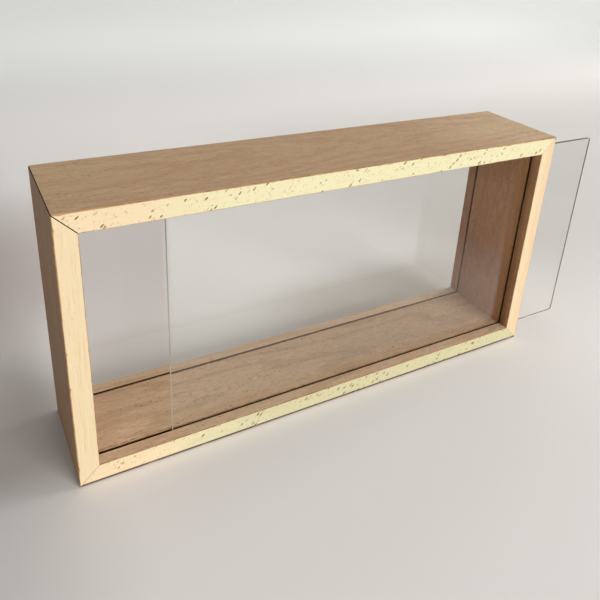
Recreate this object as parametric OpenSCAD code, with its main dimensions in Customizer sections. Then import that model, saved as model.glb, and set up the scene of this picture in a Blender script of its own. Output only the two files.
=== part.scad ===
// Display case that stands on edge: a mitred box frame of four solid beech boards, open at the
// front and the back, with a clear sliding pane in each opening.
// X runs left to right, Y from the front to the back, and Z up. The origin is the centre of the
// underside. Each pane slides to the right, out through its own slot in the right-hand board.

/* [Case] */
// Outside width of the case, from left to right
case_w = 300; // [200:1:400]
// Outside height of the case
case_h = 150; // [100:1:250]
// Outside depth of the case, from the front to the back
case_d = 62; // [52:1:120]
// Thickness of the four boards
board_t = 10.5; // [9:0.5:14]

/* [Grooves] */
// Width of the lip of wood between each open face and its groove
lip_w = 7; // [5:0.5:10]
// Width of each groove, across the pane's thickness
groove_w = 2.3; // [2.2:0.1:3]
// Depth of each groove into the board
groove_depth = 3.2; // [2.5:0.1:4]

/* [Panes] */
// Thickness of the clear sheet
pane_t = 2; // [1.5:0.1:2]
// Radius of the pane's corners
pane_corner_r = 1.5; // [0.5:0.5:5]
// Room between a pane's top edge and the top groove's floor
pane_top_gap = 0.4; // [0.2:0.1:1]
// Room between a closed pane's left edge and the left groove's floor
pane_end_gap = 0.2; // [0.1:0.1:1]
// How far the front pane stands drawn out to the right
front_pane_out = 43; // [0:1:120]

/* [Mitre splines] */
// Solid wood between each end of a spline and the nearest groove
spline_margin = 4.7; // [3:0.1:8]
// Width of a spline, across the mitre
spline_w = 7; // [5:0.5:7]
// Thickness of a spline, which is also the width of its kerf
spline_t = 2; // [1.5:0.5:2]
// Distance of a spline from the inner corner, along the mitre
spline_inset = 5; // [4:0.5:5.5]
// Room at each end of a spline, and at the bottom of each half of its kerf
spline_gap = 0.25; // [0.1:0.05:0.5]

/* [Hidden] */
$fn = 48;

LEFT = -1;
RIGHT = 1;
BOTTOM = -1;
TOP = 1;
FRONT = -1;
BACK = 1;
FACES = [FRONT, BACK];

BEECH_TOP = [0.72, 0.58, 0.45];
BEECH_SIDE = [0.80, 0.66, 0.50];
BEECH_SPLINE = [0.66, 0.48, 0.32];
CLEAR = [0.86, 0.91, 0.92, 0.35];

// How far a cutter runs past the face that it leaves
overrun = 1;
half_w = case_w / 2;
inner_x = half_w - board_t;
inner_bottom_z = board_t;
inner_top_z = case_h - board_t;
// Middle of each groove, counted from the middle of the case's depth
groove_y = case_d / 2 - lip_w - groove_w / 2;
// Thickness of the wood that a groove leaves
floor_t = board_t - groove_depth;
// Length of a spline, along the depth of the case
spline_l = case_d - 2 * (lip_w + groove_w + spline_margin);
pane_h = case_h - 2 * floor_t - pane_top_gap;
pane_closed_left = -half_w + floor_t + pane_end_gap;
pane_w = half_w - pane_closed_left;

// One board's outline, mitred at both ends, drawn in X and Z and run along the depth.
module board(outline) {
  rotate([90, 0, 0])
    linear_extrude(case_d, center = true)
      polygon(outline);
}

// The two pane grooves on the inner face of the top or the bottom board, from end to end.
module level_grooves(side) {
  floor_z = side == TOP ? inner_top_z : inner_bottom_z - groove_depth;
  over = side == TOP ? -overrun : 0;
  for (face = FACES)
    translate([-half_w, face * groove_y - groove_w / 2, floor_z + over])
      cube([case_w, groove_w, groove_depth + overrun]);
}

// The two pane grooves on the inner face of the left board, closed to the left.
module left_grooves() {
  for (face = FACES)
    translate([-inner_x - groove_depth, face * groove_y - groove_w / 2, 0])
      cube([groove_depth + overrun, groove_w, case_h]);
}

// The two slots right through the right board. Their round ends lie past the pane's corners.
module right_slots() {
  slot_h = case_h - 2 * floor_t;
  slot_l = board_t + 2 * overrun;
  for (face = FACES)
    translate([inner_x - overrun, face * groove_y, floor_t]) {
      translate([0, -groove_w / 2, 0])
        cube([slot_l, groove_w, slot_h]);
      for (end_z = [0, slot_h])
        translate([0, 0, end_z])
          rotate([0, 90, 0])
            cylinder(h = slot_l, d = groove_w);
    }
}

// A flat strip laid square across one mitre: the spline itself, or with room, its kerf.
module mitre_strip(side_x, side_z, room) {
  corner_z = side_z == TOP ? inner_top_z : inner_bottom_z;
  step = spline_inset / sqrt(2);
  translate([side_x * (inner_x + step), 0, corner_z + side_z * step])
    rotate([0, 45 * side_x * side_z, 0])
      cube([spline_w + 2 * room, spline_l + 2 * room, spline_t], center = true);
}

module spline(side_x, side_z) {
  color(BEECH_SPLINE) mitre_strip(side_x, side_z, 0);
}

module top_board() {
  color(BEECH_TOP)
    difference() {
      board([
        [-half_w, case_h], [-inner_x, inner_top_z],
        [inner_x, inner_top_z], [half_w, case_h]
      ]);
      level_grooves(TOP);
      mitre_strip(LEFT, TOP, spline_gap);
      mitre_strip(RIGHT, TOP, spline_gap);
    }
}

module bottom_board() {
  color(BEECH_TOP)
    difference() {
      board([
        [-half_w, 0], [half_w, 0],
        [inner_x, inner_bottom_z], [-inner_x, inner_bottom_z]
      ]);
      level_grooves(BOTTOM);
      mitre_strip(LEFT, BOTTOM, spline_gap);
      mitre_strip(RIGHT, BOTTOM, spline_gap);
    }
}

module left_board() {
  color(BEECH_SIDE)
    difference() {
      board([
        [-half_w, 0], [-inner_x, inner_bottom_z],
        [-inner_x, inner_top_z], [-half_w, case_h]
      ]);
      left_grooves();
      mitre_strip(LEFT, TOP, spline_gap);
      mitre_strip(LEFT, BOTTOM, spline_gap);
    }
}

module right_board() {
  color(BEECH_SIDE)
    difference() {
      board([
        [half_w, 0], [half_w, case_h],
        [inner_x, inner_top_z], [inner_x, inner_bottom_z]
      ]);
      right_slots();
      mitre_strip(RIGHT, TOP, spline_gap);
      mitre_strip(RIGHT, BOTTOM, spline_gap);
    }
}

// A flat sheet with round corners, standing on the bottom groove's floor.
module pane(face, drawn_out) {
  color(CLEAR)
    translate([pane_closed_left + drawn_out, face * groove_y, floor_t])
      rotate([90, 0, 0])
        linear_extrude(pane_t, center = true) {
          translate([pane_corner_r, 0])
            square([pane_w - 2 * pane_corner_r, pane_h]);
          translate([0, pane_corner_r])
            square([pane_w, pane_h - 2 * pane_corner_r]);
          for (corner_x = [pane_corner_r, pane_w - pane_corner_r])
            for (corner_z = [pane_corner_r, pane_h - pane_corner_r])
              translate([corner_x, corner_z])
                circle(r = pane_corner_r);
        }
}

module front_pane() {
  pane(FRONT, front_pane_out);
}

module back_pane() {
  pane(BACK, 0);
}

top_board();
bottom_board();
left_board();
right_board();
spline(LEFT, TOP);  // top_left_spline
spline(RIGHT, TOP);  // top_right_spline
spline(LEFT, BOTTOM);  // bottom_left_spline
spline(RIGHT, BOTTOM);  // bottom_right_spline
front_pane();
back_pane();
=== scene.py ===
# %% [markdown]
# This file dresses a small wooden display case. The case is a box frame of four mitred beech
# boards that stands on edge, with a clear sheet in front and another behind. The construction
# comes ready made and fixed, in metres, so everything below only gives it its surfaces, the
# light and the camera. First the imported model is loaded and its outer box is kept.

# %% Load the fixed model
import math
import bpy
import bmesh
import numpy as np
from mathutils import Matrix, Vector


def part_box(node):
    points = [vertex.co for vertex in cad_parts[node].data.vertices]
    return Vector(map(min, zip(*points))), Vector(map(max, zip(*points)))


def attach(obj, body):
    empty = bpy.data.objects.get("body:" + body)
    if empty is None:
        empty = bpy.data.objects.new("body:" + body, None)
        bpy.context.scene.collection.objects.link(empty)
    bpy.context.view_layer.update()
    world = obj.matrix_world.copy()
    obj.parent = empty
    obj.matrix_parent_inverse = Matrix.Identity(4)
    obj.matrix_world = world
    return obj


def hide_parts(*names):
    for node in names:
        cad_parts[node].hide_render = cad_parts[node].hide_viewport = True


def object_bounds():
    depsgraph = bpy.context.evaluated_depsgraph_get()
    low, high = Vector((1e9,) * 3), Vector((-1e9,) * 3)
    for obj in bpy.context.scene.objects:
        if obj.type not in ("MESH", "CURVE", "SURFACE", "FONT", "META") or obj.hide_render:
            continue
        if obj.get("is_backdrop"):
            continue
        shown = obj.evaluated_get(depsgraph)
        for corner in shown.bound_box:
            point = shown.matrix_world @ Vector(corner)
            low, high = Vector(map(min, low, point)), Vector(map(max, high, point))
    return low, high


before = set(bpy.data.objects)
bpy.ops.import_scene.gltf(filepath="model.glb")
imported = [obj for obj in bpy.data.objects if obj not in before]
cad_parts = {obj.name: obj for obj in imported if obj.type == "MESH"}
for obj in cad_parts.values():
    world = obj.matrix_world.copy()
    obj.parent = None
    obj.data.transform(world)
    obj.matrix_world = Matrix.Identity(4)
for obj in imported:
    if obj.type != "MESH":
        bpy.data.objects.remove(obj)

CAD_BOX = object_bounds()
MM = 0.001
print("nodes:", ", ".join(sorted(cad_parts)))

# %% [markdown]
# The case's sizes could be typed again, but then a change to the model would leave the finer
# boards behind, so they are read back from it. A board's thickness is the height of the top
# board's box, a groove's floor is where a pane stands, and a groove is a pane's thickness plus
# its play. Only what no box shows is typed: that play here, and further down the kerfs' room,
# the splines' thickness and the round of the panes' corners.

# %% Sizes read from the model
top_low, top_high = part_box("top_board")
front_low, front_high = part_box("front_pane")
back_low, back_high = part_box("back_pane")

HALF_W = top_high.x
HALF_D = top_high.y
CASE_H = top_high.z
BOARD_T = top_high.z - top_low.z
GROOVE_FLOOR = back_low.z
GROOVE_DEPTH = BOARD_T - GROOVE_FLOOR
PANE_T = back_high.y - back_low.y
SIDE_PLAY = 0.15 * MM
GROOVE_W = PANE_T + 2 * SIDE_PLAY
GROOVE_Y = (back_high.y + back_low.y) / 2
print("case, mm:", [round(v / MM, 2) for v in (2 * HALF_W, 2 * HALF_D, CASE_H, BOARD_T)])
print("groove, mm:", [round(v / MM, 2) for v in (GROOVE_W, GROOVE_DEPTH, GROOVE_Y)])

# %% [markdown]
# A new piece is a grid of points: one way round its outline and the other way along its path.
# The grid becomes a mesh in one step, with its two ends closed by flat faces. A cube with a
# bevel would be quicker, but its edges would be equally round from end to end. Each strip of
# the outline can carry its own finish, so a board can have a different grain on its edge.

# %% Turn a grid of points into a closed piece
def piece_from_loops(name, loops, strip_finish=None, end_finish=0):
    """A closed mesh from loops of points, shape (loops, points, 3): neighbours are joined by
    quads, and the first and last loops are filled. strip_finish numbers each strip's finish."""
    count, around = loops.shape[:2]
    along, point = np.meshgrid(np.arange(count - 1), np.arange(around), indexing="ij")
    after = (point + 1) % around
    quads = np.stack([along * around + point, along * around + after,
                      (along + 1) * around + after, (along + 1) * around + point], axis=-1)
    ends = [list(range(around))[::-1], list(range((count - 1) * around, count * around))]
    mesh = bpy.data.meshes.new(name)
    mesh.from_pydata(loops.reshape(-1, 3).tolist(), [], quads.reshape(-1, 4).tolist() + ends)
    strips = np.zeros(around, int) if strip_finish is None else np.asarray(strip_finish)
    numbers = np.concatenate([np.tile(strips, count - 1), [end_finish, end_finish]])
    mesh.polygons.foreach_set("material_index", numbers.astype(np.int32))
    point_outwards(mesh)
    piece = bpy.data.objects.new(name, mesh)
    bpy.context.scene.collection.objects.link(piece)
    return piece


def point_outwards(mesh):
    """Turns every face of a closed mesh to look outwards."""
    cells = bmesh.new()
    cells.from_mesh(mesh)
    bmesh.ops.recalc_face_normals(cells, faces=cells.faces)
    cells.to_mesh(mesh)
    cells.free()


# %% [markdown]
# Each finish is a small network of nodes. It could be wired by hand in the editor, but written
# down it can be read and changed. One helper adds a node, changes its settings and feeds its
# inputs, either with plain values or with another node's output, so a finish reads from top to
# bottom like a recipe.

# %% Helpers for building a finish
def new_finish(name):
    """An empty finish: the material, its tree and its shader."""
    material = bpy.data.materials.new(name)
    material.use_nodes = True
    return material, material.node_tree, material.node_tree.nodes["Principled BSDF"]


def feed_input(tree, node, key, value):
    """Gives one input of a node a plain value, or links it to another node's output."""
    if isinstance(value, bpy.types.NodeSocket):
        tree.links.new(value, node.inputs[key])
    else:
        node.inputs[key].default_value = value


def add(tree, kind, feed=None, **settings):
    """Adds a node with these settings and feeds its inputs. Gives the node."""
    node = tree.nodes.new("ShaderNode" + kind)
    for key, value in settings.items():
        setattr(node, key, value)
    for key, value in (feed or {}).items():
        feed_input(tree, node, key, value)
    return node


def dress(piece, finishes):
    """Gives a piece its finishes, in the order of their numbers."""
    for finish in finishes:
        piece.data.materials.append(finish)


def srgb(red, green, blue):
    """A colour written as on a screen, 0 to 255, made linear: above a short straight start,
    the share of full plus 0.055, over 1.055, to the power 2.4."""
    share = np.array([red, green, blue]) / 255
    linear = np.where(share <= 0.04045, share / 12.92, ((share + 0.055) / 1.055) ** 2.4)
    return (*linear.tolist(), 1.0)


print("middle grey, made linear:", [round(part, 3) for part in srgb(128, 128, 128)[:3]])

# %% [markdown]
# A pattern is a number at each point, from 0 to 1, that says how much of something is there.
# Such masks are made, combined and turned into colours with a few kinds of sum, and each has
# a short name here. A colour ramp would do much the same, but its stops are harder to read.

# %% Helpers for masks and mixes
def maths(tree, operation, first, second=0.0):
    """One sum on numbers."""
    return add(tree, "Math", {0: first, 1: second}, operation=operation).outputs[0]


def share_of(tree, value, amount):
    """A number or mask times a plain amount."""
    return maths(tree, "MULTIPLY", value, amount)


def overlap(tree, *masks):
    """Where all the masks hold: their product."""
    held = masks[0]
    for mask in masks[1:]:
        held = maths(tree, "MULTIPLY", held, mask)
    return held


def between(tree, value, low, high):
    """0 up to low, 1 from high on, and a smooth step from one to the other. With high below
    low it runs the other way."""
    feed = {"Value": value, "From Min": low, "From Max": high}
    return add(tree, "MapRange", feed, interpolation_type="SMOOTHSTEP").outputs[0]


def ranged(tree, share, low, high):
    """A share from 0 to 1 laid out evenly between low and high."""
    return add(tree, "MapRange", {"Value": share, "To Min": low, "To Max": high}).outputs[0]


def tint(tree, share, below, above, mode="MIX"):
    """Two colours mixed by a share, or multiplied by that share."""
    node = add(tree, "Mix", data_type="RGBA", blend_type=mode)
    for key, value in ((0, share), (6, below), (7, above)):
        feed_input(tree, node, key, value)
    return node.outputs[2]


def axes(tree, place):
    """The three coordinates of a place."""
    return add(tree, "SeparateXYZ", {0: place}).outputs


# %% [markdown]
# Wood is a solid with a direction. A photograph of wood wrapped round a board would break off
# at each corner, so the pattern is drawn in space instead, in millimetres, with the first axis
# along the grain: a cut on any side of a board then shows the pattern that belongs there. For
# the two upright boards the space is turned a quarter, and the grain runs up.

# %% The space of the grain
LEVEL, UPRIGHT = 0.0, math.pi / 2
# How strongly a dull surface mirrors, where 0.5 is usual: bare wood and sawn edges do so little
DULL_SHEEN = 0.15


def grain_space(tree, turn):
    """Object coordinates in millimetres, turned so that the grain runs along the first axis."""
    place = add(tree, "TexCoord").outputs["Object"]
    feed = {"Vector": place, "Rotation": (0, turn, 0), "Scale": (1 / MM, 1 / MM, 1 / MM)}
    return add(tree, "Mapping", feed).outputs[0]


def stretched(tree, space, sizes, turn=(0, 0, 0)):
    """The same space measured in cells of these sizes, in millimetres, after a turn."""
    turned = add(tree, "Mapping", {"Vector": space, "Rotation": turn}).outputs[0]
    scale = tuple(1 / size for size in sizes)
    return add(tree, "VectorMath", {0: turned, 1: scale}, operation="MULTIPLY").outputs[0]


def cloud(tree, space, sizes, detail=2.0, rough=0.5, turn=(0, 0, 0)):
    """Soft noise from 0 to 1 whose blots have these sizes, in millimetres."""
    feed = {"Vector": stretched(tree, space, sizes, turn), "Scale": 1.0,
            "Detail": detail, "Roughness": rough}
    return add(tree, "TexNoise", feed).outputs[0]


def ragged(tree, space, size, reach):
    """The same space pushed about by fine noise of this size, by up to about this reach, so
    that what is drawn in it has rough edges."""
    feed = {"Vector": stretched(tree, space, (size,) * 3), "Detail": 2.0}
    push = add(tree, "TexNoise", feed).outputs[1]
    push = add(tree, "VectorMath", {0: push, 1: (0.5, 0.5, 0.5)}, operation="SUBTRACT").outputs[0]
    push = add(tree, "VectorMath", {0: push, "Scale": 2 * reach}, operation="SCALE").outputs[0]
    return add(tree, "VectorMath", {0: space, 1: push}, operation="ADD").outputs[0]


def spindles(tree, space, cell, share, fill, turn=(0, 0, 0)):
    """Separate spindles, at most one in each cell of these sizes: share is how many cells have
    one, and fill how much of its cell the largest takes. Gives a mask, 1 inside a spindle, and
    a number from 0 to 1 that is each spindle's own."""
    cells = add(tree, "TexVoronoi", {"Vector": stretched(tree, space, cell, turn), "Scale": 1.0})
    own = add(tree, "SeparateColor", {0: cells.outputs["Color"]}).outputs
    size = maths(tree, "MULTIPLY", between(tree, own[0], 1 - share, 1.0), fill)
    inside = maths(tree, "SUBTRACT", size, cells.outputs["Distance"])
    return between(tree, inside, -0.04, 0.08), own[1]


def surface(material, tree, shader, colour, height, bump, rough):
    """Feeds a finish: its colour, its relief, which is bump millimetres deep where height
    changes by 1, and its roughness."""
    tree.links.new(colour, shader.inputs["Base Color"])
    lifted = add(tree, "Bump", {"Height": height, "Strength": 1.0, "Distance": bump * MM})
    tree.links.new(lifted.outputs[0], shader.inputs["Normal"])
    tree.links.new(rough, shader.inputs["Roughness"])
    shader.inputs["Specular IOR Level"].default_value = DULL_SHEEN
    return material


# %% [markdown]
# Beech has three marks. Its yearly rings are faint brown lines. Its fibres are fine streaks
# along the grain. Its rays are thin plates that run out from the heart: on a broad face their
# ends show as brown dashes one to three millimetres long, and on a narrow edge, cut the other
# way, as slanted flecks. All three are kept weak, because the wood is bare and pale. Boards
# come from different trees, so each face also has a tone of its own, into which light and shade
# are painted, and the saw has left some torn fibres beside the grooves. The first step finds
# where on a board a point lies.

# %% Rings, and the place of a point on its board
# How far the rings wander from true circles, in mm, and over what lengths along and across
RING_WANDER, RING_BENDS = 8.0, (60, 12, 12)


def rings(tree, space, heart, spacing, lean):
    """Faint ring lines: the distance from the heart line, which leans, bent by soft noise,
    then a wave of that distance, of which only the upper half is kept."""
    bend = cloud(tree, space, RING_BENDS, detail=3.0)
    moved = add(tree, "VectorMath", {0: space, 1: (0, heart[0], heart[1])}, operation="SUBTRACT")
    flat = add(tree, "VectorMath", {0: moved.outputs[0], 1: (0, 1, 1)}, operation="MULTIPLY")
    away = add(tree, "VectorMath", {0: flat.outputs[0]}, operation="LENGTH").outputs["Value"]
    away = maths(tree, "ADD", away, share_of(tree, axes(tree, space)[0], lean))
    away = maths(tree, "ADD", away, share_of(tree, bend, RING_WANDER))
    wave = maths(tree, "SINE", share_of(tree, away, 2 * math.pi / spacing))
    return between(tree, wave, 0.0, 1.0)


def past_inner_face(tree, space, turn):
    """How far each point lies past its board's inner face, towards the outer one, in mm."""
    if turn == LEVEL:
        middle, inner = CASE_H / 2, CASE_H / 2 - BOARD_T
    else:
        middle, inner = 0.0, HALF_W - BOARD_T
    out = maths(tree, "SUBTRACT", axes(tree, space)[2], middle / MM)
    return maths(tree, "SUBTRACT", maths(tree, "ABSOLUTE", out), inner / MM)


inner_span = [2 * round((half - BOARD_T) / MM, 2) for half in (HALF_W, CASE_H / 2)]
print("between the inner faces, mm:", inner_span)

# %% [markdown]
# Now the broad faces. Every mark is laid over the tone in turn, each with a mask that says
# where it goes and a share that says how strongly. One noise for all of them would look like
# marble, so each mark has its own, long along the grain and short across it.

# %% Beech, on the broad faces
RAY_BROWN = srgb(138, 94, 62)
RING_BROWN = srgb(168, 116, 76)
MOTTLE_BROWN = srgb(150, 100, 66)
TORN_BROWN = srgb(150, 94, 56)
LIGHT_FIBRE = srgb(232, 204, 168)
WARMER = srgb(251, 246, 247)
# Sizes of each mark's blots or cells, in mm: along the grain, across it and up
DRIFT_SIZE, PATCH_SIZE, MOTTLE_SIZE = (80, 20, 20), (30, 9, 9), (3.5, 1.1, 1.1)
FIBRE_SIZE, LIGHT_SIZE, TORN_SIZE = (10, 0.7, 0.7), (7, 0.7, 0.7), (2.4, 1, 1)
DASH_CELL, RING_SPACING = (2.8, 0.62, 5), 3.6
# How strongly each mark is laid over what is there
TORN_SHARE, RING_SHARE, FIBRE_SHARE = 0.8, 0.2, 0.3
LIGHT_SHARE, MOTTLE_SHARE, DASH_SHARE = 0.3, 0.16, 0.8
FACE_RELIEF, FACE_ROUGH = 0.02, (0.52, 0.7)
# Where the floor between the two grooves ends, from the middle of the case's depth, in mm
GROOVE_EDGE = (GROOVE_Y - GROOVE_W / 2) / MM
# Where a tone starts and where it is full, in mm: the far end along the grain, partly painted
# light, and the near end along it and the back lip across it, where shade is painted
FAR_END_TONE_AND_LIGHT, SHADED_NEAR_END, SHADED_BACK_LIP = (55.0, 125.0), (80.0, 45.0), (20.0, 24.0)


def face_tone(tree, space, inside, tones, painted_shade):
    """The tone under the marks, with light and shade painted in: one for the inner face, one for
    the outer, one for the far end, painted shade over the near end and the back lip, and a slow
    drift towards warmer."""
    inner_tone_and_light, outer_tone_and_light, end_tone_and_light = tones
    along, across, _ = axes(tree, space)
    tone = tint(tree, inside, srgb(*outer_tone_and_light), srgb(*inner_tone_and_light))
    tone = tint(tree, between(tree, along, *FAR_END_TONE_AND_LIGHT), tone, srgb(*end_tone_and_light))
    # Painted shade over the near end and the back lip, on the inner face alone
    painted_shade_mask = maths(tree, "MAXIMUM", between(tree, along, *SHADED_NEAR_END),
                   between(tree, across, *SHADED_BACK_LIP))
    tone = tint(tree, overlap(tree, painted_shade_mask, inside), tone, srgb(*painted_shade), "MULTIPLY")
    drift = between(tree, cloud(tree, space, DRIFT_SIZE, 3), 0.35, 0.65)
    return tint(tree, drift, tone, WARMER, "MULTIPLY")


def torn_fibres(tree, space, inside):
    """A ragged strip about a millimetre wide on the floor between the grooves, beside them."""
    from_middle = maths(tree, "ABSOLUTE", axes(tree, space)[1])
    beside = between(tree, from_middle, GROOVE_EDGE - 1.1, GROOVE_EDGE - 0.1)
    loose = between(tree, cloud(tree, space, TORN_SIZE, 4, 0.7), 0.4, 0.52)
    on_floor = maths(tree, "LESS_THAN", from_middle, GROOVE_EDGE + 1.0)
    return overlap(tree, beside, loose, inside, on_floor)


def ray_dashes(tree, space):
    """Short brown dashes along the grain, stronger in some patches than in others."""
    patch = between(tree, cloud(tree, space, PATCH_SIZE), 0.3, 0.62)
    dashes, own = spindles(tree, ragged(tree, space, 0.5, 0.2), DASH_CELL, 0.6, 0.44)
    patch = share_of(tree, patch, DASH_SHARE)
    return overlap(tree, dashes, patch, ranged(tree, own, 0.35, 1.0))


def beech_face(name, turn, heart, lean, tones, painted_shade):
    """Planed beech across a board's broad faces. The marks are laid over the tone in turn: torn
    fibres, rings, dark and light fibres, mottle and ray dashes."""
    material, tree, shader = new_finish(name)
    space = grain_space(tree, turn)
    inside = between(tree, past_inner_face(tree, space, turn), 2.0, 1.0)
    colour = face_tone(tree, space, inside, tones, painted_shade)
    torn = torn_fibres(tree, space, inside)
    colour = tint(tree, share_of(tree, torn, TORN_SHARE), colour, TORN_BROWN)
    ring = rings(tree, space, heart, RING_SPACING, lean)
    colour = tint(tree, share_of(tree, ring, RING_SHARE), colour, RING_BROWN)
    fibre = cloud(tree, space, FIBRE_SIZE, 4, 0.7)
    dark = between(tree, fibre, 0.42, 0.7)
    colour = tint(tree, share_of(tree, dark, FIBRE_SHARE), colour, RAY_BROWN)
    light = between(tree, cloud(tree, space, LIGHT_SIZE, 3, 0.7), 0.5, 0.75)
    colour = tint(tree, share_of(tree, light, LIGHT_SHARE), colour, LIGHT_FIBRE)
    mottle = between(tree, cloud(tree, space, MOTTLE_SIZE, 3, 0.7), 0.35, 0.7)
    colour = tint(tree, share_of(tree, mottle, MOTTLE_SHARE), colour, MOTTLE_BROWN)
    dashes = ray_dashes(tree, space)
    colour = tint(tree, dashes, colour, RAY_BROWN)
    relief = maths(tree, "SUBTRACT", fibre, dashes)
    rough = ranged(tree, fibre, *FACE_ROUGH)
    return surface(material, tree, shader, colour, relief, FACE_RELIEF, rough)


# %% [markdown]
# The narrow front and back edges are paler than the faces. The level boards' edges are cream,
# warmer towards the left end, and painted shade turns the bottom board's edge greyer towards the
# right. They carry the slanted flecks: loose groups of dark ones up to five millimetres long and
# many small rusty ones. Flecks could be small meshes, but they lie in the wood, so they are
# spindles in its pattern. Along the foot runs a dark line of painted contact shadow, where the
# edge meets the table.

# %% Beech, on the level edges
LEFT_CREAM, RIGHT_CREAM = srgb(235, 214, 177), srgb(229, 224, 184)
# Painted shade: the bottom board's edge turns greyer to the right
LOWER_SHADE_CREAM = srgb(206, 200, 162)
STREAK_TAN, CROSS_TAN = srgb(214, 178, 128), srgb(206, 166, 116)
FLECK_RUST, FLECK_BROWN, FLECK_DARK = srgb(196, 142, 92), srgb(184, 128, 80), srgb(84, 60, 34)
# Painted contact shadow along the bottom board's foot
CONTACT_SHADOW_BROWN = srgb(72, 50, 32)
# The rays cross the edge at this angle to the grain
FLECK_SLANT = (0, math.radians(46), 0)
# Sizes in mm, as before: blots in the border of the warm part, streaks, groups and flecks
BLOT_SIZE, STREAK_SIZE, CROSS_SIZE = (26, 6, 6), (12, 0.5, 0.5), (4, 5, 0.5)
GROUP_SIZE, SMALL_CELL, LARGE_CELL = (18, 8, 5), (1.4, 3, 0.8), (3.0, 5, 0.95)
# How far the blots push that border, where it starts and ends, and the same for the painted
# shade that greys the bottom board's edge
BLOT_REACH, WARM_BORDER, LOWER_SHADE_BORDER = 110.0, (-75.0, -5.0), (-70.0, 20.0)
# The bottom board's edge lies below these heights, and its painted contact shadow below those
BOTTOM_EDGE, CONTACT_SHADOW_LINE = (70.0, 60.0), (1.7, 1.0)
STREAK_SHARE, CROSS_SHARE, LOWER_SHADE_SHARE = 0.22, 0.2, 0.95
RUST_SHARE, CONTACT_SHADOW_SHARE = 0.55, 0.92
EDGE_ROUGH = (0.5, 0.62)


def edge_ground(tree, space, streak):
    """The cream ground, streaked along the grain and faintly along the rays. Its left part is
    warmer, with a wandering border, and on the bottom board painted shade turns it greyer to the
    right."""
    along, _, height = axes(tree, space)
    blots = cloud(tree, space, BLOT_SIZE, 3, 0.6)
    place = maths(tree, "ADD", along, share_of(tree, blots, BLOT_REACH))
    colour = tint(tree, between(tree, place, *WARM_BORDER), LEFT_CREAM, RIGHT_CREAM)
    colour = tint(tree, share_of(tree, streak, STREAK_SHARE), colour, STREAK_TAN)
    cross = between(tree, cloud(tree, space, CROSS_SIZE, 2, 0.6, FLECK_SLANT), 0.55, 0.75)
    colour = tint(tree, share_of(tree, cross, CROSS_SHARE), colour, CROSS_TAN)
    lower = overlap(tree, between(tree, height, *BOTTOM_EDGE), between(tree, place, *LOWER_SHADE_BORDER))
    return tint(tree, share_of(tree, lower, LOWER_SHADE_SHARE), colour, LOWER_SHADE_CREAM)


def level_edge():
    """Planed beech across the front and back edges of the top and bottom boards. The dark
    flecks come in groups, which grow more towards the right end, and each has its own depth."""
    material, tree, shader = new_finish("beech_edge_level")
    space = grain_space(tree, LEVEL)
    along, _, height = axes(tree, space)
    streak = between(tree, cloud(tree, space, STREAK_SIZE, 3, 0.6), 0.42, 0.72)
    colour = edge_ground(tree, space, streak)
    group = maths(tree, "ADD", cloud(tree, space, GROUP_SIZE), share_of(tree, along, 0.0005))
    group = between(tree, group, 0.4, 0.54)
    rough_space = ragged(tree, space, 0.7, 0.55)
    small, _ = spindles(tree, rough_space, SMALL_CELL, 0.36, 0.42, FLECK_SLANT)
    colour = tint(tree, share_of(tree, small, RUST_SHARE), colour, FLECK_RUST)
    large, own = spindles(tree, rough_space, LARGE_CELL, 0.5, 0.5, FLECK_SLANT)
    dark = between(tree, own, 0.45, 0.85)
    large = overlap(tree, large, group, ranged(tree, dark, 0.4, 0.95))
    colour = tint(tree, large, colour, tint(tree, dark, FLECK_BROWN, FLECK_DARK))
    # A dark line of painted contact shadow where the bottom board's edge meets the table
    foot = share_of(tree, between(tree, height, *CONTACT_SHADOW_LINE), CONTACT_SHADOW_SHARE)
    colour = tint(tree, foot, colour, CONTACT_SHADOW_BROWN)
    relief = maths(tree, "SUBTRACT", share_of(tree, streak, -0.4), large)
    rough = ranged(tree, streak, *EDGE_ROUGH)
    return surface(material, tree, shader, colour, relief, 0.03, rough)


# %% [markdown]
# The uprights' edges are a little pinker, the right one most along its outer side, where painted
# shade also makes it a little darker. They show fine upright streaks and hardly a fleck, because
# there the rays were cut at another angle. The level finish turned by a quarter would show its
# flecks, so these edges have one of their own.

# %% Beech, on the upright edges
UPRIGHT_CREAM, OUTER_SHADE_CREAM = srgb(231, 211, 173), srgb(229, 203, 167)
UPRIGHT_TAN, UPRIGHT_PALE = srgb(214, 168, 124), srgb(244, 224, 188)
UPRIGHT_MARK = srgb(200, 150, 104)
# Where the pinker part of the right edge, with its painted shade, starts and is full, in mm
# from the case's middle, and how far its border wanders
OUTER_SHADE_BORDER, BORDER_WANDER = (145.5, 151.0), 7.0
WANDER_SIZE, UPRIGHT_STREAK, PALE_STREAK = (45, 5, 5), (22, 0.8, 0.8), (16, 0.6, 0.6)
MARK_CELL = (2.6, 3, 0.4)
TAN_SHARE, PALE_SHARE, MARK_SHARE = 0.4, 0.5, 0.3


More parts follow.
